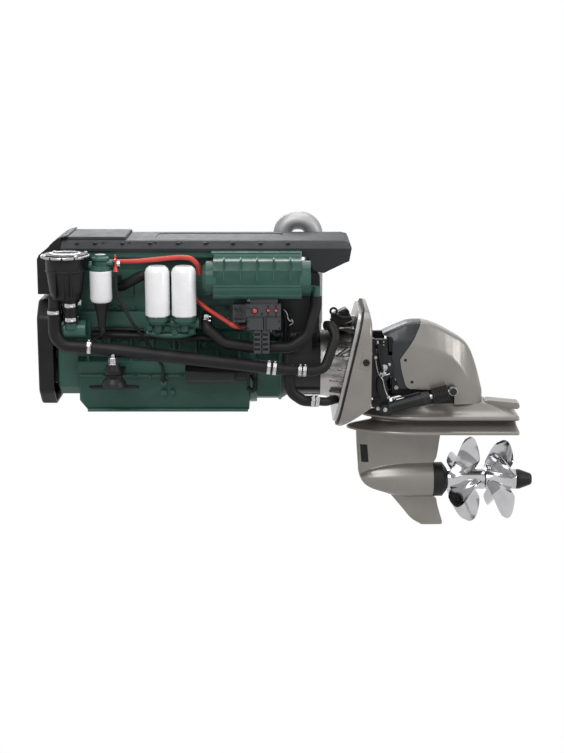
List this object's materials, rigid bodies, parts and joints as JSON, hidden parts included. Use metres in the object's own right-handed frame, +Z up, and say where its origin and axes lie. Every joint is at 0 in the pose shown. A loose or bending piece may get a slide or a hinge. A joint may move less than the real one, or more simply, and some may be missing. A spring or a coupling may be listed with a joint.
{
  "type": "inboard engine with stern drive",
  "caption": "Inboard diesel with coupling, transom shield, steering fork and tilting stern drive that carries counter-rotating propellers.",
  "frame": {"origin": "centre of the transom bolt circle, on the shield's sealing plane and on the crankshaft's line", "axes": "+X aft along the crankshaft and the propeller shafts, +Y to starboard, +Z up"},
  "size_m": [1.9633, 0.7219, 1.2559],
  "materials": {
    "green_paint": "satin",
    "dark_paint": "satin",
    "cover_plastic": "satin",
    "grey_paint": "satin",
    "cast_alloy": "cast",
    "black_rubber": "matte",
    "red_hose": "satin",
    "white_can": "gloss",
    "black_plastic": "matte",
    "red_plastic": "gloss",
    "polished_steel": "polished",
    "plated_steel": "satin",
    "cast_metal": "cast"
  },
  "bodies": {
    "engine": {"aft_cover": "cover_plastic", "alternator": "cast_alloy", "bellows": "black_rubber", "belt_guard": "black_plastic", "charge_air_cooler": "dark_paint", "coupling_bell": "dark_paint", "cylinder_head": "green_paint", "dipstick_tube": "black_plastic", "drive_belt": "black_rubber", "engine_block": "green_paint", "engine_mounts": "dark_paint", "exhaust_manifold": "cast_metal", "exhaust_riser": "cast_alloy", "filter_brackets": "green_paint", "flywheel_housing": "green_paint", "front_grille": "cover_plastic", "fuel_filter": "white_can", "heat_exchanger": "green_paint", "hose_clamps": "polished_steel", "inner_shield": "cast_alloy", "junction_box": "black_plastic", "oil_filters": "white_can", "oil_pan": "green_paint", "red_hoses": "red_hose", "sea_water_pump": "green_paint", "shield_seal": "black_rubber", "starter_motor": "dark_paint", "steering_actuator": "dark_paint", "strainer_body": "black_plastic", "top_cover": "cover_plastic", "transom_shield": "grey_paint", "turbocharger": "cast_metal", "water_hoses": "black_rubber"},
    "steering": {"steering_fork": "dark_paint", "fork_pins": "plated_steel"},
    "trim_barrel_port": {"trim_barrel_port": "plated_steel"},
    "trim_barrel_starboard": {"trim_barrel_starboard": "plated_steel"},
    "drive": {"upper_housing": "grey_paint", "front_shroud": "dark_paint", "rear_cowl": "grey_paint", "intermediate_housing": "grey_paint", "lower_housing": "grey_paint", "trim_tab": "grey_paint", "propeller_ring": "dark_paint"},
    "trim_rod_port": {"trim_rod_port": "plated_steel", "trim_boot_port": "black_rubber"},
    "trim_rod_starboard": {"trim_rod_starboard": "plated_steel", "trim_boot_starboard": "black_rubber"},
    "front_propeller": {"front_propeller": "polished_steel", "outer_propeller_shaft": "plated_steel"},
    "rear_propeller": {"rear_propeller": "polished_steel", "inner_propeller_shaft": "plated_steel", "propeller_cone": "black_plastic"},
    "crank_pulley": {"crank_pulley": "cast_metal"},
    "alternator_pulley": {"alternator_pulley": "cast_metal"},
    "main_reset_button": {"main_reset_button": "red_plastic"},
    "reset_button_a": {"reset_button_a": "red_plastic"},
    "reset_button_b": {"reset_button_b": "red_plastic"},
    "dipstick": {"dipstick": "red_plastic"},
    "strainer_lid": {"strainer_lid": "black_plastic"}
  },
  "joints": [
    {"name": "steering", "type": "hinge", "parent": "engine", "child": "steering", "pos_m": [0.055, 0, 0], "axis": [0.2164, 0, 0.9763], "range_deg": [-24, 24], "deforming": ["bellows"]},
    {"name": "tilt", "type": "hinge", "parent": "steering", "child": "drive", "pos_m": [0.135, 0, 0], "axis": [0, -1, 0], "range_deg": [-5, 38], "deforming": ["bellows"]},
    {"name": "trim_barrel_port_swing", "type": "hinge", "parent": "steering", "child": "trim_barrel_port", "pos_m": [0.138, -0.126, -0.161], "axis": [0, -1, 0], "range_deg": [-4, 30]},
    {"name": "trim_rod_port_swing", "type": "hinge", "parent": "drive", "child": "trim_rod_port", "pos_m": [0.404, -0.126, -0.088], "axis": [0, -1, 0], "range_deg": [-9, 1.5]},
    {"name": "trim_barrel_starboard_swing", "type": "hinge", "parent": "steering", "child": "trim_barrel_starboard", "pos_m": [0.138, 0.126, -0.161], "axis": [0, -1, 0], "range_deg": [-4, 30]},
    {"name": "trim_rod_starboard_swing", "type": "hinge", "parent": "drive", "child": "trim_rod_starboard", "pos_m": [0.404, 0.126, -0.088], "axis": [0, -1, 0], "range_deg": [-9, 1.5]},
    {"name": "front_propeller_spin", "type": "hinge", "parent": "drive", "child": "front_propeller", "pos_m": [0.478, 0, -0.484], "axis": [1, 0, 0], "continuous": true},
    {"name": "rear_propeller_spin", "type": "hinge", "parent": "drive", "child": "rear_propeller", "pos_m": [0.619, 0, -0.484], "axis": [1, 0, 0], "continuous": true},
    {"name": "crank_spin", "type": "hinge", "parent": "engine", "child": "crank_pulley", "pos_m": [-1.179, 0, 0], "axis": [1, 0, 0], "continuous": true},
    {"name": "alternator_spin", "type": "hinge", "parent": "engine", "child": "alternator_pulley", "pos_m": [-1.179, 0.206, 0.206], "axis": [1, 0, 0], "continuous": true},
    {"name": "main_reset_button_press", "type": "slide", "parent": "engine", "child": "main_reset_button", "axis": [0, 1, 0], "range_m": [0, 0.003], "stiffness_N_per_m": 500, "springref_m": -0.001},
    {"name": "reset_button_a_press", "type": "slide", "parent": "engine", "child": "reset_button_a", "axis": [0, 1, 0], "range_m": [0, 0.003], "stiffness_N_per_m": 500, "springref_m": -0.001},
    {"name": "reset_button_b_press", "type": "slide", "parent": "engine", "child": "reset_button_b", "axis": [0, 1, 0], "range_m": [0, 0.003], "stiffness_N_per_m": 500, "springref_m": -0.001},
    {"name": "dipstick_pull", "type": "slide", "parent": "engine", "child": "dipstick", "axis": [0, 0, 1], "range_m": [0, 0.06]},
    {"name": "strainer_lid_lift", "type": "slide", "parent": "engine", "child": "strainer_lid", "axis": [0, 0, 1], "range_m": [0, 0.04]}
  ],
  "couplings": [
    {"joint": "trim_barrel_port_swing", "follows": "tilt", "ratio": 0.775},
    {"joint": "trim_rod_port_swing", "follows": "tilt", "ratio": -0.225},
    {"joint": "trim_barrel_starboard_swing", "follows": "tilt", "ratio": 0.775},
    {"joint": "trim_rod_starboard_swing", "follows": "tilt", "ratio": -0.225},
    {"joint": "rear_propeller_spin", "follows": "front_propeller_spin", "ratio": -1},
    {"joint": "alternator_spin", "follows": "crank_spin", "ratio": 2.2941}
  ]
}
